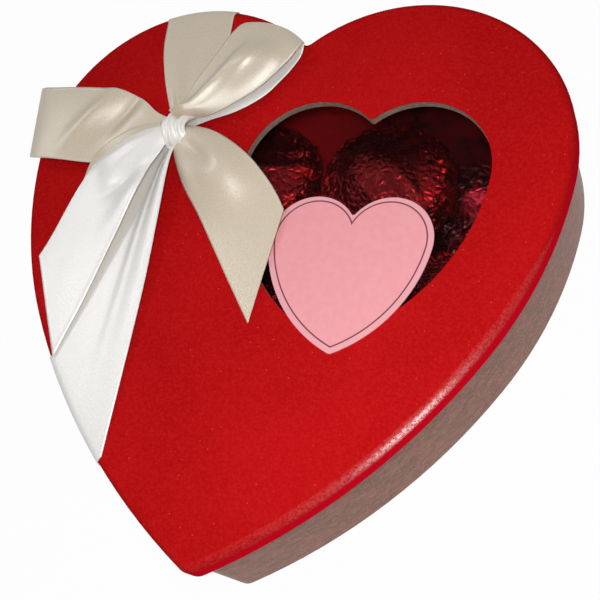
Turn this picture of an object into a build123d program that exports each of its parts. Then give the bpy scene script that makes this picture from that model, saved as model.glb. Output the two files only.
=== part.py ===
"""A heart-shaped gift box of covered board: a shallow cap lid with a heart window and a tied
ribbon, a deep base, a formed tray and a set of foil-wrapped chocolates.

Sizes are in millimetres.  The origin is on the underside of the base, in the middle of the
heart; +Y points from the tip to the notch and +Z points up, out of the box.
"""
import os
from dataclasses import dataclass
from math import atan2, cos, degrees, hypot, radians, sin, sqrt

from build123d import *

# Heart outline of the lid: half of it is a round lobe, a flatter shoulder and a long side
lobe_radius = 53.3
lobe_spread = 36.7
lobe_rise = 38.3
shoulder_radius = 127.5
shoulder_start = -4.7
side_radius = 203.0
side_start = -30.7
notch_radius = 2.0
lid_tip_radius = 5.0
base_tip_radius = 7.0

# Heights and board thicknesses
box_height = 43.0
lid_depth = 7.5
paper = 0.25
panel_board = 2.5
skirt_board = 1.0
wall_board = 1.8
floor_board = 2.0
lid_play = 1.0
lid_edge_round = 2.45
skirt_turn_in = 3.2
wall_turn_in = 12.0
floor_turn_in = 3.5
under_sheet = 0.3
under_sheet_inset = 2.0

# Window in the lid, the film behind it and the label beside the bow
window_lobe_radius = 23.3
window_lobe_spread = 16.2
window_side_radius = 62.1
window_side_start = -4.0
window_x = 27.6
window_y = 32.6
film = 0.3
film_margin = 6.0
film_notch_radius = 12.0
label_card = 0.4
label_lobe_radius = 13.8
label_lobe_spread = 11.7
label_side_radius = 43.4
label_side_start = -8.4
label_x = 28.4
label_y = 9.6
label_turn = 1.4

# Ribbon and bow: thickness, widths, and the heading and reach of each length from the knot
ribbon = 0.4
ribbon_gap = 0.05
ribbon_tuck = 3.0
ribbon_steps = 16
ribbon_width = 27.5
neck_width = 10.0
band_width = 25.4
band_back_heading = 95.8
band_back_flare = 32.0
band_front_heading = 261.2
band_front_flare = 92.0
loop_left_heading = 179.3
loop_left_crease = 187.3
loop_left_reach = 1.013 * lobe_radius
loop_left_height = 8.6
loop_right_heading = 50.7
loop_right_crease = 61.0
loop_right_reach = 0.769 * lobe_radius
loop_right_height = 9.8
loop_flare = 27.0
tail_left_heading = 242.0
tail_left_reach = 1.325 * lobe_radius
tail_left_slant = 21.0
tail_right_heading = 312.6
tail_right_reach = 1.126 * lobe_radius
tail_right_slant = -27.0
tail_right_rise = 6.0
tail_flare = 30.0
tail_neck = 8.0
tail_aside = 3.0
tail_fullness = 1.3
knot_x = 1.1 - lobe_spread
knot_y = 5.2 + lobe_rise
knot_width = 10.8
knot_length = 14.6
knot_height = 7.4
knot_round = 3.0
knot_air = 0.3

# Chocolates and the tray they stand in
foot_radius = 17.6
belly_radius = 21.5
belly_height = 11.0
crown_shoulder = 12.0
crown_turn = 50.0
foil = 0.3
foil_gap = 0.1
tray_wall = 0.6
tray_height = 10.0
tray_play = 0.4
cup_play = 0.4
chocolate_gap = 0.4

# Levels and insets that follow from the sizes
panel_top = box_height - paper
panel_under = panel_top - panel_board
skirt_low = box_height - lid_depth
base_inset = paper + skirt_board + paper + lid_play
wall_out = base_inset + paper
wall_in = wall_out + wall_board
floor_low = under_sheet + paper
floor_top = floor_low + floor_board
rim = panel_under
band_low = skirt_low - ribbon_gap - ribbon
band_top = box_height + ribbon_gap + ribbon
tray_top = floor_top + tray_height


@dataclass
class Heart:
    """A heart of tangent arcs: lobe, then each side arc as (radius, starting angle), with a
    rounded tip and notch.  It is centred between its lobes."""
    lobe_radius: float
    lobe_spread: float
    sides: tuple
    tip_radius: float
    notch_radius: float


lid_sides = ((shoulder_radius, shoulder_start), (side_radius, side_start))
lid_heart = Heart(lobe_radius, lobe_spread, lid_sides, lid_tip_radius, notch_radius)
base_heart = Heart(lobe_radius, lobe_spread, lid_sides, base_tip_radius, notch_radius)
window_heart = Heart(window_lobe_radius, window_lobe_spread,
                     ((window_side_radius, window_side_start),), 2.0, 1.0)
film_heart = Heart(window_lobe_radius + film_margin, window_lobe_spread,
                   ((window_side_radius + film_margin, window_side_start),), 8.0, film_notch_radius)
label_heart = Heart(label_lobe_radius, label_lobe_spread,
                    ((label_side_radius, label_side_start),), 1.5, 0.8)


def heart_arcs(heart):
    """The arcs of the heart's right half, from the notch to the tip, each as (centre, radius,
    lower angle, upper angle, bulge).  The bulge is -1 where the outline is hollow, at the notch."""
    notch_y = sqrt((heart.lobe_radius + heart.notch_radius) ** 2 - heart.lobe_spread ** 2)
    angle = degrees(atan2(-notch_y, heart.lobe_spread))
    arcs = [(Vector(0, notch_y), heart.notch_radius, -90, angle, -1)]
    centre = Vector(heart.lobe_spread, 0)
    radius = heart.lobe_radius
    angle += 180
    for next_radius, next_angle in heart.sides:
        arcs.append((centre, radius, next_angle, angle, 1))
        turn = radians(next_angle)
        centre = centre - Vector(cos(turn), sin(turn)) * (next_radius - radius)
        radius = next_radius
        angle = next_angle
    reach = radius - heart.tip_radius
    tip_y = centre.Y - sqrt(reach ** 2 - centre.X ** 2)
    tip_angle = degrees(atan2(tip_y - centre.Y, -centre.X))
    arcs.append((centre, radius, tip_angle, angle, 1))
    arcs.append((Vector(0, tip_y), heart.tip_radius, -90, tip_angle, 1))
    return arcs


def heart_face(heart, inset=0.0):
    """The heart's face, with its outline moved inwards by the inset."""
    with BuildSketch() as sketch:
        with BuildLine():
            for centre, radius, low, high, bulge in heart_arcs(heart):
                CenterArc(centre, radius - bulge * inset, low, high - low)
            mirror(about=Plane.YZ)
        make_face()
    return sketch.sketch


def half_width(heart, inset, level):
    """Half the width of the inset heart at a level counted from the line of its lobe centres."""
    for centre, radius, low, _, _ in heart_arcs(heart)[1:-1]:
        reach = radius - inset
        if level >= centre.Y + reach * sin(radians(low)):
            return centre.X + sqrt(reach ** 2 - (level - centre.Y) ** 2)
    return 0.0


def tip_level(heart, inset):
    """The level at which the two sides of the inset heart meet."""
    centre, radius = heart_arcs(heart)[-2][:2]
    return centre.Y - sqrt((radius - inset) ** 2 - centre.X ** 2)


def heart_block(heart, inset, low, high, place=(0.0, lobe_rise), turn=0.0, top_round=0.0):
    """A heart-shaped block between two levels, its top edge rounded if asked for."""
    with BuildPart() as block:
        with BuildSketch(Plane.XY.offset(low)):
            with Locations(Location((place[0], place[1], 0), (0, 0, turn))):
                add(heart_face(heart, inset))
        extrude(amount=high - low)
        if top_round > 0:
            fillet(block.faces().sort_by(Axis.Z)[-1].edges(), top_round)
    return block.part


def heart_ring(heart, outside, inside, low, high):
    """A heart-shaped wall between two insets and two levels."""
    with BuildPart() as ring:
        add(heart_block(heart, outside, low, high))
        add(heart_block(heart, inside, low, high), mode=Mode.SUBTRACT)
    return ring.part


def half_of(part, side):
    """The half of a part to the left (side -1) or right (side 1) of the heart's axis."""
    with BuildPart() as half:
        add(part)
        split(bisect_by=Plane.YZ, keep=Keep.TOP if side > 0 else Keep.BOTTOM)
    return half.part


def save(part, name):
    """Labels a finished piece and writes it to its own file."""
    part.label = name
    export_step(part, f"parts/{name}.step")


def window_block(heart, low, high):
    """A heart-shaped block standing at the window's place."""
    return heart_block(heart, 0.0, low, high, (window_x, window_y))


os.makedirs("parts", exist_ok=True)

# Lid: panel with its window
with BuildPart() as lid_board:
    add(heart_block(lid_heart, paper, panel_under, panel_top, top_round=lid_edge_round - paper))
    add(window_block(window_heart, panel_under, panel_top), mode=Mode.SUBTRACT)
save(lid_board.part, "lid_board")

# Lid: the two strips of board that make its shallow side
skirt_ring = heart_ring(lid_heart, paper, paper + skirt_board, skirt_low + paper, panel_under)
for side, name in ((-1, "lid_skirt_left"), (1, "lid_skirt_right")):
    save(half_of(skirt_ring, side), name)

# Lid: covering paper, over the panel, down the side and turned in under it
turn_in_low = skirt_low + paper
turn_in_out = paper + skirt_board
turn_in_in = turn_in_out + paper
with BuildPart() as lid_wrap:
    add(heart_block(lid_heart, 0.0, skirt_low, box_height, top_round=lid_edge_round))
    add(heart_block(lid_heart, paper, turn_in_low, panel_top, top_round=lid_edge_round - paper),
        mode=Mode.SUBTRACT)
    add(heart_block(lid_heart, turn_in_in, skirt_low, turn_in_low), mode=Mode.SUBTRACT)
    add(heart_ring(lid_heart, turn_in_out, turn_in_in, turn_in_low, turn_in_low + skirt_turn_in))
    add(window_block(window_heart, panel_top, box_height), mode=Mode.SUBTRACT)
save(lid_wrap.part, "lid_wrap")

# Lid: clear film glued behind the window, and the card label that overlaps its lower point
save(window_block(film_heart, panel_under - film, panel_under), "window_film")
label = heart_block(label_heart, 0.0, box_height, box_height + label_card, (label_x, label_y), label_turn)
save(label, "label")

def flat_heading(heading):
    """A level plane at the knot with its X axis along a heading."""
    turn = radians(heading)
    return Plane(origin=(knot_x, knot_y, band_low), x_dir=(cos(turn), sin(turn), 0), z_dir=(0, 0, 1))


def fan(heading, neck, width, flare, reach, slant=0.0, fullness=1.7, aside=0.0):
    """Plan of a length of ribbon: gathered to its neck at the knot, open to its full width after
    the flare, and cut across at its reach, with the left edge longer by the slant.  A fullness
    of 1 opens in straight lines and a larger one in rounder lines.  The neck can lie aside, to
    the left of the heading."""
    with BuildSketch(flat_heading(heading)) as plan:
        with BuildLine():
            edges = []
            for side in (1, -1):
                start = aside + side * neck / 2
                slope = (side * width / 2 - start) / flare
                opening = Spline((0, start), (flare, side * width / 2),
                                 tangents=((1, slope * fullness), (1, slope * (2 - fullness))))
                edge = Line(opening @ 1, (reach + side * slant / 2, side * width / 2))
                edges.append((opening @ 0, edge @ 1))
            (left_start, left_end), (right_start, right_end) = edges
            Line(left_start, right_start)
            Line(left_end, right_end)
        make_face()
    return plan.sketch


def ribbon_length(crease, path, plan):
    """A length of ribbon: its side view across the crease (distance from the knot, height above
    the lid) is drawn with the ribbon's thickness, pulled out sideways, trimmed to its plan and
    cut clear of the knot."""
    turn = radians(crease)
    side_view = Plane(origin=(knot_x, knot_y, box_height), x_dir=(cos(turn), sin(turn), 0),
                      z_dir=(sin(turn), -cos(turn), 0))
    guide = Spline(*path, mode=Mode.PRIVATE)
    over = []
    under = []
    for step in range(ribbon_steps + 1):
        along = step / ribbon_steps
        across = (guide % along).rotate(Axis.Z, 90) * (ribbon / 2)
        over.append(guide @ along + across)
        under.append(guide @ along - across)
    pull = 3 * ribbon_width
    with BuildPart() as length:
        with BuildSketch(side_view):
            with BuildLine():
                upper = Spline(*over)
                lower = Spline(*under)
                Line(upper @ 0, lower @ 0)
                Line(upper @ 1, lower @ 1)
            make_face()
        extrude(amount=pull, both=True)
        extrude(plan, amount=pull, mode=Mode.INTERSECT)
        with Locations((knot_x, knot_y, box_height)):
            Box(knot_width + 2 * knot_air, knot_length + 2 * knot_air, 2 * pull, mode=Mode.SUBTRACT)
    return length.part


def loop_path(reach, height):
    """Side view of a flattened loop: out along the lid, round the crease and back to the knot."""
    low = 5 * ribbon
    return ((0.0, low + 3 * ribbon), (reach * 0.3, low + ribbon), (reach * 0.65, low),
            (reach * 0.93, low + ribbon / 2),
            (reach, height * 0.5), (reach * 0.93, height * 0.84), (reach * 0.65, height),
            (reach * 0.35, height * 0.93), (0.0, height * 0.66))


def tail_path(reach, rise):
    """Side view of a tail: it leaves the knot, swells to its rise and lies down towards its end."""
    low = 2.5 * ribbon
    return ((0.0, low + ribbon / 2), (reach * 0.12, low + rise * 0.12), (reach * 0.32, low + rise),
            (reach * 0.55, low + rise * 0.6), (reach * 0.8, low + rise * 0.15), (reach * 1.1, low),
            (reach * 1.4, low))


# Ribbon band: a thin layer over the lid, down its side and tucked in, cut to the band's plan
tuck_out = turn_in_in + ribbon_gap
tuck_in = tuck_out + ribbon
band_reach = 2 * (lobe_radius + lobe_rise)
with BuildPart() as ribbon_band:
    add(heart_block(lid_heart, -ribbon_gap - ribbon, band_low, band_top,
                    top_round=lid_edge_round + ribbon_gap + ribbon))
    add(heart_block(lid_heart, -ribbon_gap, band_low + ribbon, box_height + ribbon_gap,
                    top_round=lid_edge_round + ribbon_gap), mode=Mode.SUBTRACT)
    add(heart_block(lid_heart, tuck_in, band_low, band_low + ribbon), mode=Mode.SUBTRACT)
    add(heart_ring(lid_heart, tuck_out, tuck_in, band_low + ribbon, band_low + ribbon + ribbon_tuck))
    with BuildSketch(Plane.XY.offset(band_low)):
        with Locations((knot_x, knot_y)):
            Circle(neck_width / 2)
        add(fan(band_back_heading, neck_width, band_width, band_back_flare, band_reach).face())
        add(fan(band_front_heading, neck_width * 0.6, band_width * 1.1, band_front_flare, band_reach,
                fullness=1.0).face())
    extrude(amount=band_top - band_low, mode=Mode.INTERSECT)
save(ribbon_band.part, "ribbon_band")

# Bow: two flattened loops and two tails with slanting cut ends
for name, heading, crease, reach, height in (
        ("bow_loop_left", loop_left_heading, loop_left_crease, loop_left_reach, loop_left_height),
        ("bow_loop_right", loop_right_heading, loop_right_crease, loop_right_reach, loop_right_height)):
    plan = fan(heading, neck_width, ribbon_width, loop_flare, 2 * reach)
    save(ribbon_length(crease, loop_path(reach, height), plan), name)

for name, heading, reach, slant, rise, aside in (
        ("bow_tail_left", tail_left_heading, tail_left_reach, tail_left_slant, ribbon, -tail_aside),
        ("bow_tail_right", tail_right_heading, tail_right_reach, tail_right_slant, tail_right_rise, tail_aside)):
    plan = fan(heading, tail_neck, ribbon_width, tail_flare, reach, slant, tail_fullness, aside)
    save(ribbon_length(heading, tail_path(reach, rise), plan), name)

# Bow: the knot, a soft pad over the middle of the band
with BuildPart() as bow_knot:
    with BuildSketch(Plane.XY.offset(band_top + 2 * ribbon_gap)):
        with Locations((knot_x, knot_y)):
            RectangleRounded(knot_width, knot_length, knot_round)
    extrude(amount=knot_height)
    fillet(bow_knot.faces().sort_by(Axis.Z)[-1].edges(), knot_round * 0.8)
save(bow_knot.part, "bow_knot")

# Base: sheet pasted underneath, the floor board and the two strips of board that make its wall
save(heart_block(base_heart, base_inset + under_sheet_inset, 0.0, under_sheet), "base_sheet")
save(heart_block(base_heart, wall_out, floor_low, floor_top), "base_board")
wall_ring = heart_ring(base_heart, wall_out, wall_in, floor_top, rim - paper)
for side, name in ((-1, "base_wall_left"), (1, "base_wall_right")):
    save(half_of(wall_ring, side), name)

# Base: covering paper, turned under the floor and over the rim
with BuildPart() as base_wrap:
    add(heart_ring(base_heart, base_inset, wall_out, under_sheet, rim))
    add(heart_ring(base_heart, base_inset, base_inset + floor_turn_in, under_sheet, floor_low))
    add(heart_ring(base_heart, base_inset, wall_in + paper, rim - paper, rim))
    add(heart_ring(base_heart, wall_in, wall_in + paper, rim - wall_turn_in, rim))
save(base_wrap.part, "base_wrap")


def truffle(shrink):
    """A chocolate standing at the origin, its surface moved inwards by the shrink.  Above the
    belly it rounds in at the shoulder and closes in a flatter crown."""
    turn = radians(crown_turn)
    crown_radius = crown_shoulder + (belly_radius - crown_shoulder) / cos(turn)
    crown_drop = (crown_radius - crown_shoulder) * sin(turn)
    with BuildPart() as form:
        with BuildSketch(Plane.XZ):
            with BuildLine():
                foot = Line((0, shrink), (foot_radius - shrink, shrink))
                Line(foot @ 1, (belly_radius - shrink, belly_height))
                CenterArc((belly_radius - crown_shoulder, belly_height), crown_shoulder - shrink, 0, crown_turn)
                crown = CenterArc((0, belly_height - crown_drop), crown_radius - shrink,
                                  crown_turn, 90 - crown_turn)
                Line(crown @ 1, (0, shrink))
            make_face()
        revolve(axis=Axis.Z)
    return form.part


def spread(first, last, count):
    """Evenly spaced numbers from the first to the last."""
    return [first + (last - first) * step / max(count - 1, 1) for step in range(count)]


def chocolate_places():
    """Centres of the chocolates: a row through the lobes, from the left wall to under the window,
    then rows from wall to wall, as many in each as the pitch allows, and one in the tip."""
    pitch = 2 * belly_radius + chocolate_gap
    inset = wall_in + paper + chocolate_gap + belly_radius
    half = half_width(base_heart, inset, 0.0)
    count = int((half + window_x) / pitch) + 1
    places = [(x, lobe_rise) for x in spread(-half, window_x, count)]
    level = -pitch
    while half_width(base_heart, inset, level) > pitch / 2:
        half = half_width(base_heart, inset, level)
        count = int(2 * half / pitch) + 1
        places += [(x, lobe_rise + level) for x in spread(half, -half, count)]
        level -= pitch
    lowest = tip_level(base_heart, inset)
    if hypot(half, level + pitch - lowest) > pitch:
        places.append((0.0, lobe_rise + lowest))
    return places


# Tray: a formed sheet with a deck, a side and a cup for each chocolate
tray_inset = wall_in + paper + tray_play
cup_flare = (belly_radius - foot_radius) * (tray_height - tray_wall) / belly_height
places = chocolate_places()
with BuildPart() as tray:
    add(heart_block(base_heart, tray_inset, tray_top - tray_wall, tray_top))
    add(heart_ring(base_heart, tray_inset, tray_inset + tray_wall, floor_top, tray_top))
    with Locations(*[(x, y, floor_top) for x, y in places]):
        Cone(foot_radius + cup_play + tray_wall, foot_radius + cup_flare + cup_play + tray_wall, tray_height,
             align=(Align.CENTER, Align.CENTER, Align.MIN))
    with Locations(*[(x, y, floor_top + tray_wall) for x, y in places]):
        Cone(foot_radius + cup_play, foot_radius + cup_flare + cup_play, tray_height - tray_wall,
             align=(Align.CENTER, Align.CENTER, Align.MIN), mode=Mode.SUBTRACT)
save(tray.part, "tray")

# Chocolates: each one a foil skin round a solid centre
with BuildPart() as foil_skin:
    add(truffle(0.0))
    add(truffle(foil), mode=Mode.SUBTRACT)
centre = truffle(foil + foil_gap)
for number, (x, y) in enumerate(places, start=1):
    stand = Location((x, y, floor_top + tray_wall))
    save(foil_skin.part.moved(stand), f"foil_{number:02d}")
    save(centre.moved(stand), f"chocolate_{number:02d}")
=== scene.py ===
# %% [markdown]
# A heart-shaped gift box of covered board, with a window in its lid, foil-wrapped chocolates
# inside and a satin bow.  The packed CAD model is the fixed frame: board, paper, film, card and
# tray keep their CAD solids and get finishes here.  The ribbon and the foil are soft, so they
# are made again as thin sheets that stand for the CAD solids.

# %% Load the packed model
import math

import bpy
import numpy as np
from mathutils import Matrix, Vector, noise


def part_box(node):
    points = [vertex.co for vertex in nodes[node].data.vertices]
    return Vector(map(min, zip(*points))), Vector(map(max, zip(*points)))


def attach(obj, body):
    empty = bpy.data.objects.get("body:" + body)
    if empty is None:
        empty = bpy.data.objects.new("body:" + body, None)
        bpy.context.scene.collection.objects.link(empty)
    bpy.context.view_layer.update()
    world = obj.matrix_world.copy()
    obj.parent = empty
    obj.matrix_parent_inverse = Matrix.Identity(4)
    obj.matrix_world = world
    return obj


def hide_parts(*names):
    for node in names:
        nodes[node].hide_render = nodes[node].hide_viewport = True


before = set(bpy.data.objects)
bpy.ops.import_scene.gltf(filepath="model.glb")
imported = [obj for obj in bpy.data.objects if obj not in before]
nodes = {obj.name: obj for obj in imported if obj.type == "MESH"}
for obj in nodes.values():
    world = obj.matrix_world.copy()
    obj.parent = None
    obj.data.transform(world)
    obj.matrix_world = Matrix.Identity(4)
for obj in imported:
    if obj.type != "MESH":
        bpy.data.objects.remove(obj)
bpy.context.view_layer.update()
MM = 0.001

# %% [markdown]
# The camera looks down on the box from the front right.  It could be placed by eye, but the lid
# has a clear outline, so the camera's place, its direction and its lens were worked out once from
# that outline and are written down here as they are.

# %% Camera
scene = bpy.context.scene
scene.view_settings.view_transform = "Standard"
eye = Vector((140.8, -109.3, 322.9)) * MM
look = Vector((-0.3849, 0.3084, -0.8699)).normalized()
picture_up = Vector((-0.069, 0.9303, 0.3603))
side = look.cross(picture_up).normalized()
lens = bpy.data.cameras.new("front_right")
lens.sensor_width = 36.0
lens.lens = 66.31
lens.clip_start = 0.01
camera = bpy.data.objects.new("front_right", lens)
turn = Matrix((side, side.cross(look), -look)).transposed().to_4x4()
camera.matrix_world = Matrix.Translation(eye) @ turn
scene.collection.objects.link(camera)
scene.camera = camera
print("camera at", [round(value, 3) for value in eye])

# %% [markdown]
# Nodes can be placed and linked one line at a time, but in a long list of links the idea of a
# material gets lost, so here materials are written as sums.  A Wire holds one socket: adding or
# multiplying wires adds Math nodes, and every other node comes from its make method, settings
# first and sockets after.

# %% Wires
class Wire:
    """A socket of a node tree, which can be used in sums."""

    def __init__(self, tree, socket=None):
        self.tree = tree
        self.socket = socket

    def make(self, kind, settings=None, sockets=None, out=0):
        """Adds a node of a kind and gives back one of its outputs, if it has any."""
        node = self.tree.nodes.new(kind)
        for name, value in (settings or {}).items():
            setattr(node, name, value)
        for name, value in (sockets or {}).items():
            if isinstance(value, Wire):
                self.tree.links.new(value.socket, node.inputs[name])
            else:
                node.inputs[name].default_value = value
        return Wire(self.tree, node.outputs[out] if node.outputs else None)

    def maths(self, operation, first, second=0.0):
        return self.make("ShaderNodeMath", {"operation": operation}, {0: first, 1: second})

    def __add__(self, other):
        return self.maths("ADD", self, other)

    def __radd__(self, other):
        return self.maths("ADD", other, self)

    def __sub__(self, other):
        return self.maths("SUBTRACT", self, other)

    def __rsub__(self, other):
        return self.maths("SUBTRACT", other, self)

    def __mul__(self, other):
        return self.maths("MULTIPLY", self, other)

    def __rmul__(self, other):
        return self.maths("MULTIPLY", other, self)

    def __truediv__(self, other):
        return self.maths("DIVIDE", self, other)

    def __rtruediv__(self, other):
        return self.maths("DIVIDE", other, self)

    def __pow__(self, other):
        return self.maths("POWER", self, other)

    def __rpow__(self, other):
        return self.maths("POWER", other, self)

    def __abs__(self):
        return self.maths("ABSOLUTE", self)

    def sign(self):
        return self.maths("SIGN", self)

    def higher(self, other):
        return self.maths("MAXIMUM", self, other)

    def rise(self, low, high):
        """0 below the low value, 1 above the high one, with a smooth step between."""
        return self.make("ShaderNodeMapRange", {"interpolation_type": "SMOOTHSTEP"},
                         {"Value": self, "From Min": low, "From Max": high})

    def blend(self, first, second):
        """The first colour where this wire is 0 and the second where it is 1."""
        return self.make("ShaderNodeMix", {"data_type": "RGBA"}, {0: self, 6: first, 7: second}, out=2)

    def part(self, axis):
        """One of the three numbers of a vector, by its letter."""
        return self.make("ShaderNodeSeparateXYZ", sockets={0: self}, out=axis)

    def vector(self, operation, other=(0.0, 0.0, 0.0)):
        """Vector Math with this wire first, and another wire or three numbers second."""
        return self.make("ShaderNodeVectorMath", {"operation": operation}, {0: self, 1: other})

    def stretch(self, x, y, z):
        """The vector with its three numbers multiplied."""
        return self.vector("MULTIPLY", (x, y, z))

    def cloud(self, scale, detail=3.0, roughness=0.55, out="Fac"):
        """Cloudy noise with this wire as its place, as one number or as a random colour."""
        sockets = {"Vector": self, "Scale": scale, "Detail": detail, "Roughness": roughness}
        return self.make("ShaderNodeTexNoise", sockets=sockets, out=out)

    def cells(self, scale, feature="F1", out="Distance"):
        """Distances in a pattern of random cells, or the cells' own random colours."""
        sockets = {"Vector": self, "Scale": scale}
        return self.make("ShaderNodeTexVoronoi", {"feature": feature}, sockets, out)


print("a Wire can:", [name for name in vars(Wire) if not name.startswith("_")])

# %% [markdown]
# A Finish is one material round one Principled shader, which can be paper, plastic, metal or
# cloth.  Values that are the same all over go on the shader's own sockets; what changes over the
# surface is wired in afterwards.  Colours are written as they look on a screen, which is easier
# to picture than the light values that shaders use.

# %% Finishes
def seen(red, green, blue):
    """A colour as it looks on a screen, from 0 to 255, turned into the light that shaders use."""
    shares = [value / 255 for value in (red, green, blue)]
    return tuple(v / 12.92 if v <= 0.04045 else ((v + 0.055) / 1.055) ** 2.4 for v in shares) + (1.0,)


class Finish:
    """A material with one Principled shader."""

    def __init__(self, name, **constants):
        self.material = bpy.data.materials.new(name)
        self.material.use_nodes = True
        self.tree = self.material.node_tree
        self.shader = self.tree.nodes["Principled BSDF"]
        for socket, value in constants.items():
            self.shader.inputs[socket.replace("_", " ")].default_value = value
        self.start = Wire(self.tree)
        self.place = self.start.make("ShaderNodeTexCoord", out="Object")

    def wire(self, **wires):
        for socket, wire in wires.items():
            self.tree.links.new(wire.socket, self.shader.inputs[socket.replace("_", " ")])

    def bump(self, height, depth):
        """Relief from a wire of heights from 0 to 1, which stand for a depth in metres."""
        self.wire(Normal=self.start.make("ShaderNodeBump", sockets={"Height": height, "Distance": depth},
                                         out="Normal"))

    def put_on(self, *objects):
        for thing in objects:
            thing.data.materials.clear()
            thing.data.materials.append(self.material)


print("mid grey as light:", round(seen(128, 128, 128)[0], 3))

# %% [markdown]
# The box stands in a white room.  More light would make the room white, but it would bleach the
# box too, so two lamps and the world light the box at a plain level.  Only for the rays that the
# camera, mirrors and glass send out is the room plain white.

# %% Lamps and room
def area_lamp(name, place, aim, size, power):
    lamp = bpy.data.lights.new(name, "AREA")
    lamp.shape = "DISK"
    lamp.size = size
    lamp.energy = power
    lamp_object = bpy.data.objects.new(name, lamp)
    lamp_object.location = place
    lamp_object.rotation_euler = (Vector(aim) - Vector(place)).to_track_quat("-Z", "Y").to_euler()
    lamp_object.visible_camera = False
    scene.collection.objects.link(lamp_object)


def straight_rays(tree_start):
    """1 for the rays that the camera, mirrors and glass send out."""
    camera_ray, glossy_ray, clear_ray = [
        tree_start.make("ShaderNodeLightPath", out=name)
        for name in ("Is Camera Ray", "Is Glossy Ray", "Is Transmission Ray")]
    return camera_ray.higher(glossy_ray).higher(clear_ray)


area_lamp("key_lamp", place=(0.105, -0.082, 0.30), aim=(0.065, -0.06, 0.04), size=0.062, power=0.53)
area_lamp("side_lamp", place=(-0.66, 0.26, 0.78), aim=(-0.04, 0.02, 0.04), size=0.26, power=1.05)

room_level = 0.2
white = (1.0, 1.0, 1.0, 1.0)
world = bpy.data.worlds.new("white_room")
world.use_nodes = True
scene.world = world
room = Wire(world.node_tree)
backdrop = world.node_tree.nodes["Background"]
backdrop.inputs["Color"].default_value = white
room_light = straight_rays(room) * (1 - room_level) + room_level
world.node_tree.links.new(room_light.socket, backdrop.inputs["Strength"])
print("room at", room_level, "and", len(bpy.data.lights), "lamps")

# %% [markdown]
# The floor is a big white sheet.  A plain white floor would look grey in this light and a glowing
# one would have no shadow, so for the same rays its lit surface is mixed with a glow: what is left
# of the lit surface keeps a faint shadow under the box.

# %% Floor
floor_size = 4.0
floor_white_share = 0.97
floor_grey = (0.86, 0.86, 0.86, 1.0)
bpy.ops.mesh.primitive_plane_add(size=floor_size)
floor = bpy.context.object
floor.name = "floor"
floor_finish = bpy.data.materials.new("white_floor")
floor_finish.use_nodes = True
floor_finish.node_tree.nodes.clear()
ground = Wire(floor_finish.node_tree)
lit = ground.make("ShaderNodeBsdfDiffuse", sockets={"Color": floor_grey})
glow = ground.make("ShaderNodeEmission", sockets={"Color": white, "Strength": 1.0})
surface = ground.make("ShaderNodeMixShader",
                      sockets={0: straight_rays(ground) * floor_white_share, 1: lit, 2: glow})
ground.make("ShaderNodeOutputMaterial", sockets={"Surface": surface})
floor.data.materials.append(floor_finish)
print("a floor of", floor_size, "m")

# %% [markdown]
# The lid is covered in a bright red paper with a fine fibre and a few tiny sparkles.  A picture
# of paper would need a map without seams, while noise fits any shape.  The colour drifts a little
# over the lid.  The side is a brighter, bluer crimson: its extra brightness is painted light, as
# the lamps reach the side only at a grazing angle.  The sparkles are dots in the middle of a few
# of many random cells.

# %% Red paper
lid_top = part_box("lid_wrap")[1].z
side_below, top_above = lid_top - 3.0 * MM, lid_top - 1.2 * MM
speck_scale = 700
fibre_strength, speck_strength = 0.5, 0.6

red_paper = Finish("red_paper", Roughness=0.5, Specular_IOR_Level=0.0)
fibre = red_paper.place.cloud(1200, 4.0, 0.75)
drift = red_paper.place.cloud(22, 2.0)
plain_red = drift.rise(0.3, 0.7).blend(seen(186, 14, 17), seen(198, 18, 21))
fibre_red = (fibre.rise(0.35, 0.75) * fibre_strength).blend(plain_red, seen(222, 40, 40))
on_top = red_paper.place.part("Z").rise(side_below, top_above)
# The side's brighter crimson is painted light: the lamps reach the side only at a grazing angle.
lid_red_with_painted_side_light = on_top.blend(seen(246, 14, 40), fibre_red)
speck_distance = red_paper.place.cells(speck_scale)
speck_draw = red_paper.place.cells(speck_scale, out="Color").part("X")
speck = (1 - speck_distance.rise(0.03, 0.14)) * speck_draw.rise(0.88, 0.90)
red_paper.wire(Base_Color=(speck * speck_strength).blend(lid_red_with_painted_side_light, seen(250, 150, 120)))
red_paper.bump(fibre, 0.12 * MM)
red_paper.put_on(nodes["lid_wrap"])
print("red paper on lid_wrap")

# %% [markdown]
# The paper is drawn tight over the edge of the lid and burnished there, so a line of light runs
# along the long side arc on the window's side.  A rounder edge would give it, but the CAD solid
# stays as it is.  So a little white gloss is mixed in, broken up by the fibre, with a normal of
# its own that leans out slowly towards the edge, as on a softly padded board.

# %% Burnished edge
arc_x, arc_y, arc_radius = 102.17 * MM, 82.93 * MM, 203.0 * MM
pad_width, pad_radius = 2.8 * MM, 7.0 * MM
burnish_share, burnish_roughness = 0.028, 0.24
from_axis = red_paper.place.part("X")
east = abs(from_axis) + arc_x
north = red_paper.place.part("Y") - arc_y
reach = (east * east + north * north) ** 0.5
lean = (reach + (pad_width - arc_radius)).higher(0.0) / pad_radius
lean_x = lean * east / reach * from_axis.sign()
lean_y = lean * north / reach
leaning = red_paper.start.make("ShaderNodeCombineXYZ", sockets={0: lean_x, 1: lean_y, 2: 1.0})
gloss = red_paper.start.make("ShaderNodeBsdfGlossy", sockets={
    "Color": white, "Roughness": burnish_roughness, "Normal": leaning.vector("NORMALIZE")})
on_window_side = from_axis.rise(-20 * MM, 30 * MM)
broken = fibre.rise(0.35, 0.6) * 0.85 + 0.15
share = lean.rise(0.02, 0.12) * on_top * on_window_side * broken * burnish_share
paper = Wire(red_paper.tree, red_paper.shader.outputs[0])
mixed = red_paper.start.make("ShaderNodeMixShader", sockets={0: share, 1: paper, 2: gloss})
red_paper.tree.links.new(mixed.socket, red_paper.tree.nodes["Material Output"].inputs["Surface"])
print("burnished edge", round(pad_width / MM, 1), "mm wide")

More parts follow.
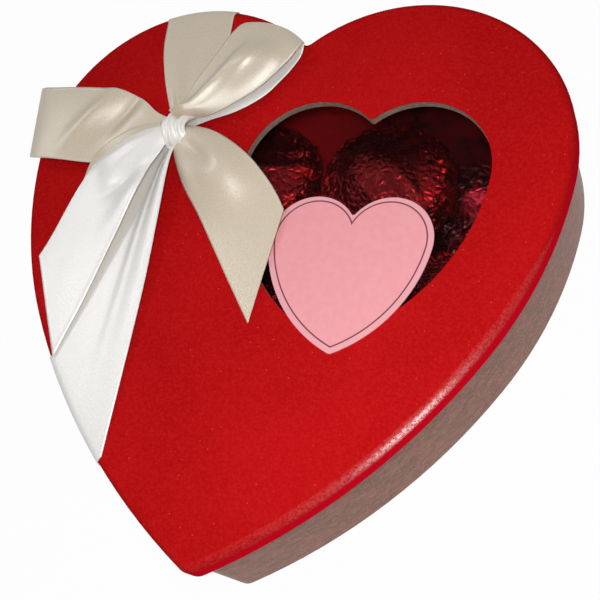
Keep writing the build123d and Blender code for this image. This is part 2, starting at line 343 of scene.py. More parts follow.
# %% [markdown]
# The base is covered in a bronze paper with a mottled metallic print: soft brown clouds, long
# in the wall's direction, with pinkish and olive flecks and a fine grain over them.  Each layer
# is a noise of its own size, so that each can be made stronger or weaker alone.

# %% Bronze paper
fleck_strength, grain_strength = 0.7, 0.4
bronze_paper = Finish("bronze_paper", Metallic=0.3, Specular_IOR_Level=0.05)
cloud = bronze_paper.place.stretch(1, 1, 2.5).cloud(130, 4.0, 0.65)
fleck = bronze_paper.place.stretch(1, 1, 2.0).cloud(420, 3.0, 0.6)
grain = bronze_paper.place.cloud(1700, 2.0, 0.6)
bronze = cloud.rise(0.3, 0.7).blend(seen(134, 92, 80), seen(168, 121, 106))
pinkish = (fleck.rise(0.50, 0.68) * fleck_strength).blend(bronze, seen(184, 122, 116))
mottled = ((1 - fleck.rise(0.34, 0.48)) * fleck_strength).blend(pinkish, seen(118, 106, 74))
grained = (grain.rise(0.52, 0.72) * grain_strength).blend(mottled, seen(206, 170, 150))
bronze_paper.wire(Base_Color=grained, Roughness=cloud * 0.25 + 0.3)
bronze_paper.bump(grain, 0.06 * MM)
bronze_paper.put_on(nodes["base_wrap"])
print("bronze paper on base_wrap")

# %% [markdown]
# Greyboard shows raw at the cut edge of the window and inside the box: pressed waste paper with
# lighter and darker fibres, laid in thin layers.  The layers are a noise that is squeezed so far
# in height that only flat streaks are left.  The lining sheet under the base is a plain matt
# paper, for which one noise is enough.

# %% Board and lining
board_names = ("lid_board", "lid_skirt_left", "lid_skirt_right", "base_board", "base_wall_left",
               "base_wall_right")
grey_board = Finish("grey_board", Roughness=0.85)
pulp = grey_board.place.cloud(900, 5.0, 0.7)
layers = grey_board.place.stretch(120, 120, 2600).cloud(1.0, 2.0)
board = pulp.rise(0.3, 0.7).blend(seen(128, 106, 92), seen(172, 150, 132))
grey_board.wire(Base_Color=(layers.rise(0.4, 0.7) * 0.5).blend(board, seen(190, 170, 150)))
grey_board.bump(pulp, 0.2 * MM)
grey_board.put_on(*[nodes[name] for name in board_names])

under_paper = Finish("under_paper", Roughness=0.7)
sheet_grain = under_paper.place.cloud(700, 4.0, 0.65)
under_paper.wire(Base_Color=sheet_grain.rise(0.3, 0.7).blend(seen(196, 186, 172), seen(220, 212, 200)))
under_paper.bump(sheet_grain, 0.1 * MM)
under_paper.put_on(nodes["base_sheet"])
print("board on", len(board_names), "pieces, lining on base_sheet")

# %% [markdown]
# The film behind the window is a thin clear sheet: almost all light goes straight through.  Glass
# that bends light would do it too, but it renders slowly, and a film this thin doesn't bend light
# that one can see.  A low alpha is enough.

# %% Clear film
clear_film = Finish("clear_film", Roughness=0.06, Alpha=0.02)
haze = clear_film.place.cloud(60, 2.0)
clear_film.wire(Base_Color=haze.blend(seen(40, 34, 34), seen(60, 52, 52)))
clear_film.put_on(nodes["window_film"])
print("film on window_film")

# %% [markdown]
# The label is a pink card with a thin dark line printed parallel to its edge.  A print has no
# height, so the line is a mask in the colour and not a mesh.  It needs the distance from the
# edge, which is simple on a heart of arcs: above the line through the lobe's centre it is measured
# from the lobe's circle, and below it from the side's circle.  The lobes' lines stand a little
# closer together than the lobes, so the notch of the line is less deep.

# %% Pink card
label_x, label_y, label_turn = 28.4 * MM, 9.6 * MM, math.radians(1.4)
lobe_radius, lobe_spread = 13.8 * MM, 11.7 * MM
side_radius, side_angle = 43.4 * MM, math.radians(-8.4)
line_inset, line_half, line_shift = 1.95 * MM, 0.22 * MM, 0.5 * MM
hair = 0.01 * MM

pink_card = Finish("pink_card", Roughness=0.55)
east = pink_card.place.part("X") - label_x
north = pink_card.place.part("Y") - label_y
across = abs(east * math.cos(label_turn) + north * math.sin(label_turn))
along = north * math.cos(label_turn) - east * math.sin(label_turn)
beside = across - lobe_spread
line_beside = beside + line_shift
lobe_gap = lobe_radius - line_inset + line_shift - (line_beside * line_beside + along * along) ** 0.5
side_x = lobe_spread - (side_radius - lobe_radius) * math.cos(side_angle)
side_y = -(side_radius - lobe_radius) * math.sin(side_angle)
off_x = across - side_x
off_y = along - side_y
side_gap = side_radius - line_inset - (off_x * off_x + off_y * off_y) ** 0.5
under_lobe = (beside * math.sin(side_angle) - along * math.cos(side_angle)).rise(-hair, hair)
line_gap = lobe_gap * (1 - under_lobe) + side_gap * under_lobe
printed = 1 - abs(line_gap).rise(line_half * 0.6, line_half * 1.4)
border = 1 - line_gap.rise(0.0, 0.1 * MM)
card_grain = pink_card.place.cloud(500, 2.0, 0.5)
pink = card_grain.rise(0.3, 0.7).blend(seen(248, 164, 170), seen(250, 170, 176))
edged = (border * 0.8).blend(pink, seen(244, 176, 184))
pink_card.wire(Base_Color=printed.blend(edged, seen(118, 22, 54)))
pink_card.bump(card_grain, 0.05 * MM)
pink_card.put_on(nodes["label"])
print("pink card on label, line", round(line_inset / MM, 2), "mm in")

# %% [markdown]
# The tray is a thin formed plastic in a dark wine red with a metallic shine.  Towards the bow it
# is painted a lighter red, a painted pool of light on the dark wine red.  On the window's side it
# is crinkled, and one spot there has a painted pink glint.  The crinkles are the borders of random
# cells, bent by a noise so that they don't run straight.  They are too fine for the solid, so they
# are bump.

# %% Tray
bend_reach, crinkle_depth = 20 * MM, 1.6 * MM
painted_glint_y = 39.5 * MM
tray_plastic = Finish("tray_plastic", Metallic=0.4, Specular_IOR_Level=0.2)
flow = tray_plastic.place.cloud(120, 3.0)
bend = tray_plastic.place.cloud(90, 2.0, 0.5, out="Color")
bent = tray_plastic.place.vector("ADD", bend.stretch(bend_reach, bend_reach, bend_reach))
crinkle = bent.cells(190, "DISTANCE_TO_EDGE").rise(0.0, 0.5)
across_tray = tray_plastic.place.part("X")
along_tray = tray_plastic.place.part("Y")
crinkled = across_tray.rise(36 * MM, 50 * MM) * (1 - along_tray.rise(44 * MM, 54 * MM))
# The pink spot is a painted glint: a colour that stands for light caught on the crinkles.
near_painted_glint = 1 - abs(along_tray - painted_glint_y).rise(2 * MM, 8 * MM)
painted_glint = across_tray.rise(50 * MM, 53 * MM) * near_painted_glint * flow.rise(0.4, 0.6)
# Towards the bow the tray is painted a lighter red: painted light on the dark wine red.
painted_light_towards_bow = 1 - across_tray.rise(-4 * MM, 34 * MM)
wine = flow.rise(0.35, 0.65).blend(seen(54, 4, 8), seen(92, 6, 12))
tray_red_with_painted_light = painted_light_towards_bow.blend(wine, seen(158, 11, 19))
tray_plastic.wire(Base_Color=painted_glint.blend(tray_red_with_painted_light, seen(226, 48, 70)), Roughness=flow * 0.3 + 0.15)
tray_plastic.bump(crinkle * crinkled, crinkle_depth)
tray_plastic.put_on(nodes["tray"])
print("wine-red plastic on tray")

# %% [markdown]
# The chocolates inside the foil are plain dark chocolate.  They stay hidden until someone unwraps
# one, so two browns in a soft noise are enough.

# %% Chocolate
dark_chocolate = Finish("dark_chocolate", Roughness=0.4)
bloom = dark_chocolate.place.cloud(200, 3.0)
dark_chocolate.wire(Base_Color=bloom.blend(seen(48, 26, 18), seen(66, 38, 27)))
chocolate_names = sorted(name for name in nodes if name.startswith("chocolate_"))
dark_chocolate.put_on(*[nodes[name] for name in chocolate_names])
print("dark chocolate on", len(chocolate_names), "pieces")

# %% [markdown]
# Each chocolate is a round drop with a flat foot: a cone up to its widest ring, a tight arc over
# the shoulder and a wide arc over the crown.  The foil lies on it, so the wrapper starts from the
# same line, turned about the upright axis.  The arcs meet without a kink, because their centres
# lie on one line through the point where they meet.

# %% Chocolate profile
foot_radius, belly_radius, belly_height = 17.6, 21.5, 11.0
shoulder_radius, crown_turn = 12.0, math.radians(50)
crown_radius = shoulder_radius + (belly_radius - shoulder_radius) / math.cos(crown_turn)
crown_centre = belly_height - (crown_radius - shoulder_radius) * math.sin(crown_turn)
crown_end, belly_at = 0.4, 0.8


def profile(share):
    """Radius, height and outward direction of a chocolate's skin, from its top (0) to its foot (1)."""
    if share > belly_at:
        down = (share - belly_at) / (1 - belly_at)
        return belly_radius + (foot_radius - belly_radius) * down, belly_height * (1 - down), 1.0, 0.0
    if share < crown_end:
        steep = (math.pi / 2 - crown_turn) * share / crown_end
        out, lift = math.sin(steep), math.cos(steep)
        return crown_radius * out, crown_centre + crown_radius * lift, out, lift
    steep = crown_turn * (belly_at - share) / (belly_at - crown_end)
    out, lift = math.cos(steep), math.sin(steep)
    return belly_radius - shoulder_radius * (1 - out), belly_height + shoulder_radius * lift, out, lift


print("chocolates", round(profile(0.0)[1], 1), "mm high")

# %% [markdown]
# The foil was pressed over each chocolate by hand.  The crown is nearly smooth, and a ring of
# creases runs round the shoulder.  A cloth simulation could crumple a sheet, but foil keeps sharp
# folds, which noise with sharp ridges gives more simply.  It pushes the points of the turned
# profile outwards, so the creases are real and catch light: large ones, small ones and gathers that
# run up the side, with a few long soft folds across the crown.

# %% Foil creases
rings, spokes = 44, 96
skin_gap, ring_depth, fold_depth = 0.12, 1.15, 0.8


def smooth_step(value, low, high):
    share = np.clip((value - low) / (high - low), 0.0, 1.0)
    return share * share * (3 - 2 * share)


def ridge(place, scale):
    """Sharp-crested noise from 0 to 1."""
    return 1 - abs(noise.noise(place * scale, noise_basis="PERLIN_NEW"))


def foil_points(centre, heading):
    """Rings of points on the creased foil of one chocolate, whose folds run at a heading."""
    fold_turn = Matrix.Diagonal((0.030, 0.14, 0.05)) @ Matrix.Rotation(heading, 3, "Z")
    points = []
    for ring in range(rings + 1):
        share = ring / rings
        radius, height, out, lift = profile(share)
        in_ring = smooth_step(share, 0.30, 0.46) * (1 - smooth_step(share, 0.70, 0.80))
        over_crown = 1 - smooth_step(share, 0.5, 0.6)
        for spoke in range(spokes):
            angle = 2 * math.pi * spoke / spokes
            outward = Vector((math.cos(angle), math.sin(angle), 0))
            place = centre + outward * radius + Vector((0, 0, height))
            up_side = Vector((outward.x * 3.4, outward.y * 3.4, height * 0.05)) + centre * 0.37
            large, small, gather = ridge(place, 0.20), ridge(place, 0.47), ridge(up_side, 2.2)
            crease = large ** 3 * 0.6 + small ** 2 * 1.1 + gather ** 3 * 0.6
            fold = ridge(fold_turn @ place, 1.0) ** 5 * fold_depth * over_crown
            push = (skin_gap + ring_depth * in_ring) * crease + fold
            points.append(place + (outward * out + Vector((0, 0, lift))) * push)
    return points


print("foil of", rings, "rings of", spokes, "points")

# %% [markdown]
# The rings of points become one closed mesh for each chocolate.  Smooth shading would round the
# creases off again, so the ring of creases keeps flat facets and the rest is smooth.  The folds of
# each wrapper run in another direction, so that no two look alike.

# %% Foil wrappers
facets_from, facets_to = 0.42, 0.74
first_heading, heading_step = -0.9, 0.9


def foil_faces():
    """Triangles round the top point, rings of quads and one face under the foot."""
    faces = [(0, 1 + s, 1 + (s + 1) % spokes) for s in range(spokes)]
    for ring in range(rings - 1):
        first = 1 + ring * spokes
        for s in range(spokes):
            after = (s + 1) % spokes
            faces.append((first + s, first + spokes + s, first + spokes + after, first + after))
    last = 1 + (rings - 1) * spokes
    faces.append(tuple(last + s for s in range(spokes)))
    return faces


def foil_wrapper(name, node):
    """A creased foil skin on one chocolate, standing where its CAD node stands."""
    low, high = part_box(node)
    centre = Vector(((low.x + high.x) / 2, (low.y + high.y) / 2, low.z)) / MM
    points = foil_points(centre, first_heading + heading_step * (int(name[-2:]) - 1))
    points = [points[0]] + points[spokes:]
    faces = foil_faces()
    mesh = bpy.data.meshes.new(name)
    mesh.from_pydata([point * MM for point in points], [], faces)
    first_facet, last_facet = int(rings * facets_from) * spokes, int(rings * facets_to) * spokes
    smooth = [not first_facet <= face < last_facet for face in range(len(faces))]
    mesh.polygons.foreach_set("use_smooth", smooth)
    wrapper = bpy.data.objects.new(name, mesh)
    scene.collection.objects.link(wrapper)
    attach(wrapper, "base")
    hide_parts(node)
    return wrapper


foil_names = sorted(name for name in nodes if name.startswith("foil_"))
wrappers = [foil_wrapper("wrapper_" + name[-2:], name) for name in foil_names]
print(len(wrappers), "wrappers of", len(wrappers[0].data.vertices), "points")

# %% [markdown]
# The foil itself is a dark red metal.  Its crown is painted darker, a painted dark reflection of
# the dark surroundings that it would mirror.  The finest creases come from the borders of random
# cells and are bump, because points for them would make the mesh very heavy.  The gloss changes a
# little from place to place.

# %% Red foil
red_foil = Finish("red_foil", Metallic=0.85, Specular_IOR_Level=0.3)
wander = red_foil.place.cloud(160, 2.0)
fine_creases = red_foil.place.cells(420, "DISTANCE_TO_EDGE").rise(0.0, 0.35)
grit = red_foil.place.cloud(1400, 3.0, 0.6)
foil_height = red_foil.place.part("Z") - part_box("foil_01")[0].z
# The crown is painted darker: a painted dark reflection.
crown_painted_dark = foil_height.rise(19 * MM, 24 * MM)
foil_red = wander.rise(0.35, 0.65).blend(seen(104, 7, 10), seen(158, 11, 19))
red_foil.wire(Base_Color=crown_painted_dark.blend(foil_red, seen(88, 6, 10)), Roughness=wander * 0.35 + 0.1)
red_foil.bump(fine_creases * 0.7 + grit * 0.3, 0.26 * MM)
red_foil.put_on(*wrappers)
print("red foil on the wrappers")

# %% [markdown]
# Satin ribbon: ivory threads lie close together along its length, so its face is smooth and
# shines in soft broad lights, while its back is duller and more beige.  Its woven edges are a
# little lighter and firmer.  A noise in space would cut across the folds, so both finishes use
# the ribbon's own map, which runs from 0 to 1 across it and in metres along it.

# %% Ivory satin
def satin(name, dark, light, edge_colour, gloss, shine):
    """One side of the ribbon: two ivory tones of its threads, its edges, its roughness and its shine."""
    finish = Finish(name, IOR=1.9, Specular_IOR_Level=shine)
    weave = finish.start.make("ShaderNodeUVMap", {"uv_map": "weave"})
    edge = abs(weave.part("X") - 0.5).rise(0.466, 0.478)
    threads = weave.stretch(60, 1500, 1).cloud(1.0, 3.0, 0.7)
    tone = threads.rise(0.3, 0.7).blend(dark, light)
    finish.wire(Base_Color=(edge * 0.6).blend(tone, edge_colour), Roughness=threads * 0.2 + (gloss - 0.1))
    finish.bump(threads * 0.8 + edge * 0.6, 0.08 * MM)
    return finish


satin_face = satin("satin_face", dark=seen(240, 236, 231), light=seen(251, 249, 246),
                   edge_colour=seen(250, 248, 244), gloss=0.36, shine=0.95)
satin_back = satin("satin_back", dark=seen(204, 187, 160), light=seen(222, 206, 180),
                   edge_colour=seen(232, 220, 198), gloss=0.34, shine=0.62)
print("satin face and back ready")

# %% [markdown]
# A length of ribbon could fall into place in a cloth simulation, but then its outline falls where
# it likes.  Here it is a sheet lofted across rails: each rail is a smooth line through a few
# points from the knot outwards, given in millimetres as x, y and the height over the lid.  The
# outer rails follow the ribbon's edges, so the outline is right.

# %% Lofted ribbon
satin_thickness = 0.35
ribbon_columns = 33


def smooth_line(points, count):
    """Points on a smooth curve through the given ones; the first axis runs along the curve."""
    points = np.asarray(points, float)
    ends = np.concatenate([2 * points[:1] - points[1:2], points, 2 * points[-1:] - points[-2:-1]])
    at = np.linspace(0, len(points) - 1, count)
    step = np.minimum(at.astype(int), len(points) - 2)
    t = (at - step).reshape((-1,) + (1,) * (points.ndim - 1))
    a, b, c, d = ends[step], ends[step + 1], ends[step + 2], ends[step + 3]
    squared = 2 * a - 5 * b + 4 * c - d
    cubed = 3 * b - a - 3 * c + d
    return 0.5 * (2 * b + (c - a) * t + squared * t ** 2 + cubed * t ** 3)


def loft(rails, along, across=ribbon_columns):
    """A grid of points: rows along the ribbon, columns across it."""
    lines = np.stack([smooth_line(rail, along) for rail in rails])
    return smooth_line(lines, across).transpose(1, 0, 2)


# %% [markdown]
# Between its edges a ribbon is never quite flat.  Four small helpers change the heights of a grid:
# one gathers its start into folds, as at a knot, one lifts or presses an oval patch, as a thumb
# does, one raises folds along it and one arches it across.  Sculpting by hand could do the same,
# but numbers can be changed later.

# %% Folds and dents
def pleat(grid, folds, depth, reach):
    """Gathers the start of a grid into folds that die out after a share of its length."""
    rows, columns = grid.shape[:2]
    fade = (1 - smooth_step(np.linspace(0, 1, rows), 0.0, reach))[:, None]
    wave = np.cos(np.linspace(0, 2 * math.pi * folds, columns))[None, :]
    grid[..., 2] += depth * fade * wave


def press(grid, at, long, short, heading, lift, rows=None):
    """Lifts (or presses, below 0) a soft oval patch of the grid, or of its first rows, seen from above."""
    turn = math.radians(heading)
    east, north = grid[..., 0] - at[0], grid[..., 1] - at[1]
    u = (east * math.cos(turn) + north * math.sin(turn)) / long
    v = (north * math.cos(turn) - east * math.sin(turn)) / short
    patch = lift * np.exp(-u * u - v * v)
    if rows is not None:
        patch[rows:] = 0.0
    grid[..., 2] += patch


def ridges(grid, places, strengths, rows=None):
    """Raises folds that run along the grid: each is a place and a width, as shares of the grid's
    width, and a height.  The strengths run along the grid, or along its first rows."""
    rows = rows or len(grid)
    across = np.linspace(0, 1, grid.shape[1])[None, :]
    strength = smooth_line(np.array(strengths, float)[:, None], rows)
    for at, width, height in places:
        grid[:rows, :, 2] += height * strength * np.exp(-((across - at) / width) ** 2)


def crown(grid, heights):
    """Arches the grid across its width; the heights run along it."""
    rows, columns = grid.shape[:2]
    arch = 1 - np.linspace(-1, 1, columns) ** 2
    grid[..., 2] += smooth_line(np.array(heights)[:, None], rows) * arch[None, :]


print("helpers:", [helper.__name__ for helper in (pleat, press, ridges, crown)])

# %% [markdown]
# Each finished grid becomes a piece of ribbon: a mesh with the map for the weave, a Solidify
# modifier for its thickness, and the two satins on its two sides.  The piece rides on the lid and
# stands for its CAD solid, which is hidden.

# %% Ribbon pieces
def satin_piece(name, node, grid, face_from=None):
    """Makes the mesh of a ribbon length and lets it stand for its CAD node.  Its back is up, or
    its face is from the given row on."""
    rows, columns = grid.shape[:2]
    near = grid[rows // 4]
    rise = np.cross(grid[rows // 4 + 1] - near, np.gradient(near, axis=0))[:, 2].sum()
    if rise < 0:
        grid = grid[:, ::-1]
    points = grid.reshape(-1, 3) * MM + np.array((0.0, 0.0, lid_top))
    index = np.arange(rows * columns).reshape(rows, columns)
    quads = np.stack([index[:-1, :-1], index[1:, :-1], index[1:, 1:], index[:-1, 1:]], -1).reshape(-1, 4)
    mesh = bpy.data.meshes.new(name)
    mesh.from_pydata(points.tolist(), [], quads.tolist())
    mesh.shade_smooth()
    middle = grid[:, columns // 2] * MM
    steps = np.linalg.norm(np.diff(middle, axis=0), axis=1)
    lengths = np.concatenate([[0.0], np.cumsum(steps)])
    u, v = np.meshgrid(np.linspace(0, 1, columns), lengths)
    spots = np.stack([u, v], -1).reshape(-1, 2)
    layer = mesh.uv_layers.new(name="weave")
    layer.data.foreach_set("uv", spots[quads.reshape(-1)].ravel())
    piece = bpy.data.objects.new(name, mesh)
    scene.collection.objects.link(piece)
    skin = piece.modifiers.new("thickness", "SOLIDIFY")
    skin.thickness = satin_thickness * MM
    skin.offset = 0.0
    skin.material_offset = 1
    for finish in (satin_back, satin_face, satin_back):
        mesh.materials.append(finish.material)
    if face_from is not None:
        face_rows = np.repeat(np.arange(rows - 1), columns - 1) >= face_from
        mesh.polygons.foreach_set("material_index", face_rows.astype(int))
    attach(piece, "lid")
    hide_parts(node)
    print(name, "is", round(lengths[-1] / MM), "mm of ribbon")


print("satin_piece turns a grid into ribbon")

# %% [markdown]
# The band runs over the left lobe of the lid, down the side at both ends and in under the skirt.
# A bent strip would cut into the round side, so each end is worked out from an arc of the lid's
# outline: a row of points across the ribbon, repeated down the rounded edge, the side and the
# turn underneath.  Between the ends and the knot the band is lofted and gets its folds.

# %% Ribbon band
edge_round = 2.45
lid_depth = 7.5
skirt_thickness = 1.5
lie = 0.25


def hem(centre, radius, first, last):
    """Rows of points from the flat of the lid down over its edge and in under the skirt."""
    angles = np.radians(np.linspace(first, last, ribbon_columns))
    outward = np.stack([np.cos(angles), np.sin(angles)], -1)
    under, inside = -lid_depth - lie, skirt_thickness + lie
    path = []
    for bend in np.linspace(0, math.pi / 2, 7):
        path.append((edge_round - (edge_round + lie) * math.sin(bend),
                     (edge_round + lie) * math.cos(bend) - edge_round))
    path += [(-lie, -4.0), (-lie, -5.6), (-lie, -lid_depth), (-0.1, under)]
    path += [(0.8, under), (skirt_thickness, under), (inside, -lid_depth), (inside, -6.0), (inside, -4.6)]
    rows = []
    for inset, height in path:
        spots = np.array(centre) + outward * (radius - inset)
        rows.append(np.column_stack([spots, np.full(ribbon_columns, height)]))
    return np.array(rows)


back_hem = hem((-36.7, 38.3), 53.3, 108.3, 80.3)
front_hem = hem((102.17, 82.93), 203.0, 215.6, 226.9)
back_neck = loft([[(-40.4, 45.5, 0.7), (-40.8, 49.5, 0.8), (-43.0, 53.5, 0.9)],
                  [(-32.6, 45.5, 0.7), (-32.4, 49.5, 0.8), (-31.4, 53.5, 0.9)]], 3)
front_neck = loft([[(-40.0, 42.0, 0.7), (-42.4, 38.0, 0.7), (-46.4, 32.0, 0.5)],
                   [(-35.2, 41.8, 0.7), (-35.4, 37.6, 0.7), (-35.8, 31.6, 0.6)]], 3)
back_mid = loft([[(-47.8, 64.5, 0.8), (-51.4, 76.0, 0.5)], [(-29.2, 64.5, 0.8), (-27.6, 76.0, 0.5)]], 2)
front_mid = loft([[(-54.0, 12.0, 0.3), (-58.5, -14.0, 0.3)], [(-34.8, 11.6, 0.4), (-34.2, -14.2, 0.3)]], 2)
back_flat = smooth_line(np.concatenate([back_neck, back_mid, back_hem[:1]]), 48)
front_flat = smooth_line(np.concatenate([front_neck, front_mid, front_hem[:1]]), 64)
pleat(back_flat, folds=3, depth=0.35, reach=0.55)
ridges(back_flat, [(0.30, 0.12, 0.9), (0.74, 0.10, 0.8)], [0.6, 1.0, 0.8, 0.2, 0.0])
ridges(front_flat, [(0.94, 0.30, 3.2), (0.62, 0.06, 0.4)], [0.3, 0.9, 1.1, 1.2, 1.0, 0.6, 0.0])
band_grid = np.concatenate([back_hem[:0:-1], back_flat[::-1], front_flat, front_hem[1:]])
front_start = len(back_hem) + len(back_flat) - 1
satin_piece("satin_band", "ribbon_band", band_grid, face_from=front_start)

# %% [markdown]
# The left loop lies out over the edge of the lid.  Its two rails run out along the upper layer,
# round the soft fold at the end and back to the knot below, so one sheet makes both layers.  The
# weight of the tail beside it presses a dent into the upper layer, with a slanting ridge behind it.

# %% Left loop
loop_rows, upper_rows = 140, 78
left_back = [
    (-38.5, 46.5, 5.0), (-43.7, 48.5, 5.8), (-47.5, 51.3, 6.6), (-52.0, 54.2, 7.0), (-58.0, 56.0, 7.2),
    (-66.0, 57.0, 7.0), (-76.0, 57.4, 6.9), (-85.0, 57.5, 6.6), (-90.3, 57.9, 5.8), (-92.8, 58.2, 4.0),
    (-90.5, 58.0, 2.2), (-84.0, 57.6, 1.6), (-70.0, 56.6, 1.6), (-55.0, 53.0, 1.8), (-45.0, 48.0, 2.0),
    (-38.5, 46.0, 2.2)]
left_front = [
    (-38.5, 42.5, 3.2), (-43.0, 39.5, 2.6), (-48.0, 36.0, 2.3), (-54.0, 33.0, 2.4), (-60.5, 31.4, 3.0),
    (-67.0, 30.8, 4.2), (-75.8, 30.9, 5.6), (-83.0, 31.2, 5.8), (-87.6, 31.6, 5.2), (-89.6, 32.6, 3.6),
    (-87.0, 34.0, 2.0), (-82.0, 34.6, 1.5), (-69.0, 35.6, 1.3), (-55.0, 38.0, 1.2), (-45.0, 41.0, 1.4),
    (-38.5, 43.0, 1.8)]
loop_left = loft([left_back, left_front], loop_rows)
crown(loop_left, [0.5, 1.0, 1.2, 1.0, 0.8, 0.4, 0.0, 0.0, 0.0, 0.0, 0.0])
press(loop_left, (-67.2, 47.6), long=12.0, short=2.8, heading=51, lift=1.8, rows=upper_rows)
press(loop_left, (-56.6, 48.6), long=11.0, short=3.2, heading=53, lift=-2.4, rows=upper_rows)
pleat(loop_left, folds=2.5, depth=0.3, reach=0.12)
satin_piece("satin_loop_left", "bow_loop_left", loop_left)

# %% [markdown]
# The right loop stands a little fuller: its end swells outwards, its lower layer shows as a bright
# strip along the front edge, and two ridges run out from the knot.  It is made as the left one is,
# with ridges along the sheet in place of the dent.

# %% Right loop
swell_at, swell_spread, swell_out, swell_heading = 0.533, 0.11, 2.6, math.radians(68)
right_left = [
    (-36.5, 46.5, 5.0), (-36.3, 50.0, 5.8), (-34.6, 52.4, 6.4), (-32.7, 56.8, 7.0), (-29.7, 62.9, 7.5),
    (-26.5, 69.2, 7.5), (-24.1, 75.2, 7.2), (-21.6, 79.8, 6.6), (-20.0, 82.4, 4.6), (-21.2, 80.2, 2.6),
    (-23.0, 76.5, 2.0), (-25.5, 71.5, 2.0), (-28.5, 64.5, 2.1), (-32.0, 56.0, 2.3), (-35.0, 50.0, 2.5),
    (-36.4, 46.5, 2.7)]
right_right = [
    (-34.0, 44.5, 4.2), (-30.9, 47.2, 4.0), (-25.2, 49.0, 3.8), (-18.7, 52.9, 3.6), (-10.7, 58.6, 3.8),
    (-5.1, 64.4, 4.4), (-1.4, 68.6, 5.2), (0.6, 71.9, 5.6), (1.6, 74.6, 4.4), (0.9, 71.4, 2.6),
    (-1.2, 67.2, 2.2), (-4.2, 62.6, 2.2), (-9.0, 56.6, 2.3), (-17.0, 51.2, 2.4), (-26.0, 47.6, 2.6),
    (-33.5, 44.0, 2.8)]
loop_right = loft([right_left, right_right], loop_rows)
along_loop = np.linspace(0, 1, loop_rows)[:, None]
across_loop = np.linspace(-1, 1, ribbon_columns)[None, :]
swell = swell_out * np.exp(-((along_loop - swell_at) / swell_spread) ** 2) * (1 - across_loop ** 2)
loop_right[..., 0] += swell * math.cos(swell_heading)
loop_right[..., 1] += swell * math.sin(swell_heading)
crown(loop_right, [4.1, 2.6, 1.6, 1.0, 0.6, 0.2, 0.0, 0.0, 0.0, 0.0, 0.0])
ridges(loop_right, [(0.38, 0.12, 1.0)], [2.4, 1.1, 1.6, 1.6, 0.1, 0.0], upper_rows)
ridges(loop_right, [(0.60, 0.21, 1.0)], [2.6, 0.5, 1.0, 4.4, 0.0, 0.0], upper_rows)
pleat(loop_right, folds=2.5, depth=0.15, reach=0.10)
satin_piece("satin_loop_right", "bow_loop_right", loop_right)

# %% [markdown]
# The left tail comes out over the loop, with its outer edge rolled over on itself near the knot,
# and then lies flat down to a slanting cut.  Two rails can't roll over, so it has five: the first
# is the true edge, on top of the roll, and the second is the roll's outermost line.

# %% Left tail
tail_rows, rolled_columns = 110, 41
tail_left = loft([
    [(-40.6, 43.1, 6.6), (-45.8, 40.6, 7.4), (-51.5, 37.5, 7.3), (-57.7, 33.1, 6.2), (-63.6, 29.0, 4.0),
     (-69.0, 20.8, 1.8), (-73.8, 5.5, 1.1), (-76.6, -2.0, 0.9)],
    [(-41.0, 44.5, 6.2), (-47.0, 42.8, 7.2), (-53.2, 39.8, 7.4), (-59.8, 35.4, 6.4), (-65.0, 30.4, 3.8),
     (-67.2, 20.0, 1.8), (-71.6, 4.5, 1.2), (-75.0, -5.2, 1.0)],
    [(-40.0, 42.6, 5.4), (-45.6, 40.2, 6.0), (-51.5, 36.2, 5.8), (-57.5, 31.2, 4.6), (-62.0, 26.4, 2.6),
     (-64.0, 18.0, 1.7), (-68.6, 1.5, 1.2), (-72.6, -10.3, 1.0)],
    [(-39.0, 41.0, 5.4), (-43.0, 36.5, 5.4), (-47.5, 30.5, 4.4), (-52.5, 23.4, 3.0), (-56.5, 16.0, 2.2),
     (-60.0, 7.0, 1.8), (-64.5, -8.0, 1.4), (-67.5, -21.0, 1.0)],
    [(-37.8, 40.0, 4.6), (-39.6, 35.5, 4.4), (-42.2, 30.2, 4.2), (-44.2, 23.1, 4.0), (-46.8, 14.5, 3.6),
     (-50.1, 2.3, 2.8), (-55.1, -16.9, 1.8), (-60.6, -35.1, 1.1)]], tail_rows, rolled_columns)
press(tail_left, (-52.6, 26.4), long=7.5, short=3.0, heading=46, lift=-2.2)
press(tail_left, (-52.2, 31.2), long=10.0, short=3.0, heading=44, lift=1.3)
press(tail_left, (-47.0, 21.0), long=9.0, short=3.0, heading=62, lift=1.0)
satin_piece("satin_tail_left", "bow_tail_left", tail_left, face_from=0)

# %% [markdown]
# The right tail swells up beside the knot and lies down across the label's edge, with its cut
# slanting the other way.  Two rails are enough here: a crown gives the swell, one broad patch lifts
# its middle so that it catches the light, and two narrow ones crease it beside the knot.

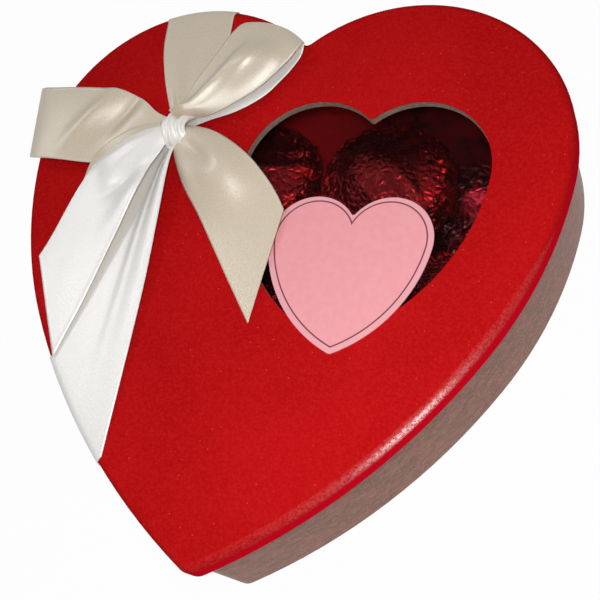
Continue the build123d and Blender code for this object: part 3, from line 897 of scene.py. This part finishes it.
# %% Right tail
tail_right = loft([
    [(-37.4, 41.5, 2.8), (-36.9, 38.4, 2.5), (-33.9, 32.0, 2.8), (-28.6, 23.3, 2.8), (-21.8, 14.7, 2.4),
     (-14.8, 4.9, 1.8), (-6.4, -6.8, 1.2), (2.6, -18.9, 0.9)],
    [(-34.2, 43.8, 4.0), (-31.5, 44.4, 4.8), (-22.6, 42.2, 5.8), (-14.2, 38.0, 6.0), (-7.0, 33.2, 5.2),
     (-1.0, 27.5, 3.9), (3.0, 22.8, 2.9), (6.4, 17.8, 2.0)]], tail_rows)
crown(tail_right, [1.0, 1.8, 2.2, 1.9, 1.3, 0.7, 0.3, 0.1])
press(tail_right, (-16.0, 27.8), long=10.5, short=8.0, heading=-50, lift=4.0)
press(tail_right, (-25.5, 34.0), long=9.0, short=2.4, heading=-38, lift=-1.6)
press(tail_right, (-29.0, 28.0), long=8.0, short=2.2, heading=-52, lift=0.9)
pleat(tail_right, folds=2.5, depth=0.5, reach=0.3)
satin_piece("satin_tail_right", "bow_tail_right", tail_right)

# %% [markdown]
# The knot is a short length of narrower ribbon wound over the middle of the bow and gathered into
# deep pleats, so that its whole width is there in about two thirds of the space.  A smooth ring
# would look like a bead, so its reach changes with two waves across the ribbon, and it is a little
# fatter in the middle.

# %% Knot
knot_x, knot_y, knot_height = -35.9, 43.6, 2.6
knot_out, knot_up = 6.1, 5.5
knot_rows, knot_columns = 48, 61
knot_half_width = 5.2
wrap = np.linspace(-0.12 * math.pi, 1.12 * math.pi, knot_rows)[:, None]
over_knot = np.linspace(-1, 1, knot_columns)[None, :]
knot_swell = 1 - 0.28 * over_knot ** 2
wide_pleats = 0.45 * np.cos(over_knot * 11.0 + 0.9 * np.sin(wrap * 1.7))
fine_pleats = 0.22 * np.cos(over_knot * 23.0 + wrap * 2)
knot_pleats = (wide_pleats + fine_pleats) * (1 - over_knot ** 6)
waist = 0.9 + 0.1 * np.cos(wrap * 2)
sway = 0.3 * np.sin(wrap * 3)
knot_grid = np.empty((knot_rows, knot_columns, 3))
knot_grid[..., 0] = knot_x + over_knot * knot_half_width * waist + sway
knot_grid[..., 1] = knot_y - np.cos(wrap) * ((knot_out + knot_pleats) * knot_swell)
knot_grid[..., 2] = knot_height + np.sin(wrap) * ((knot_up + knot_pleats) * knot_swell)
satin_piece("satin_knot", "bow_knot", knot_grid, face_from=0)

# %% [markdown]
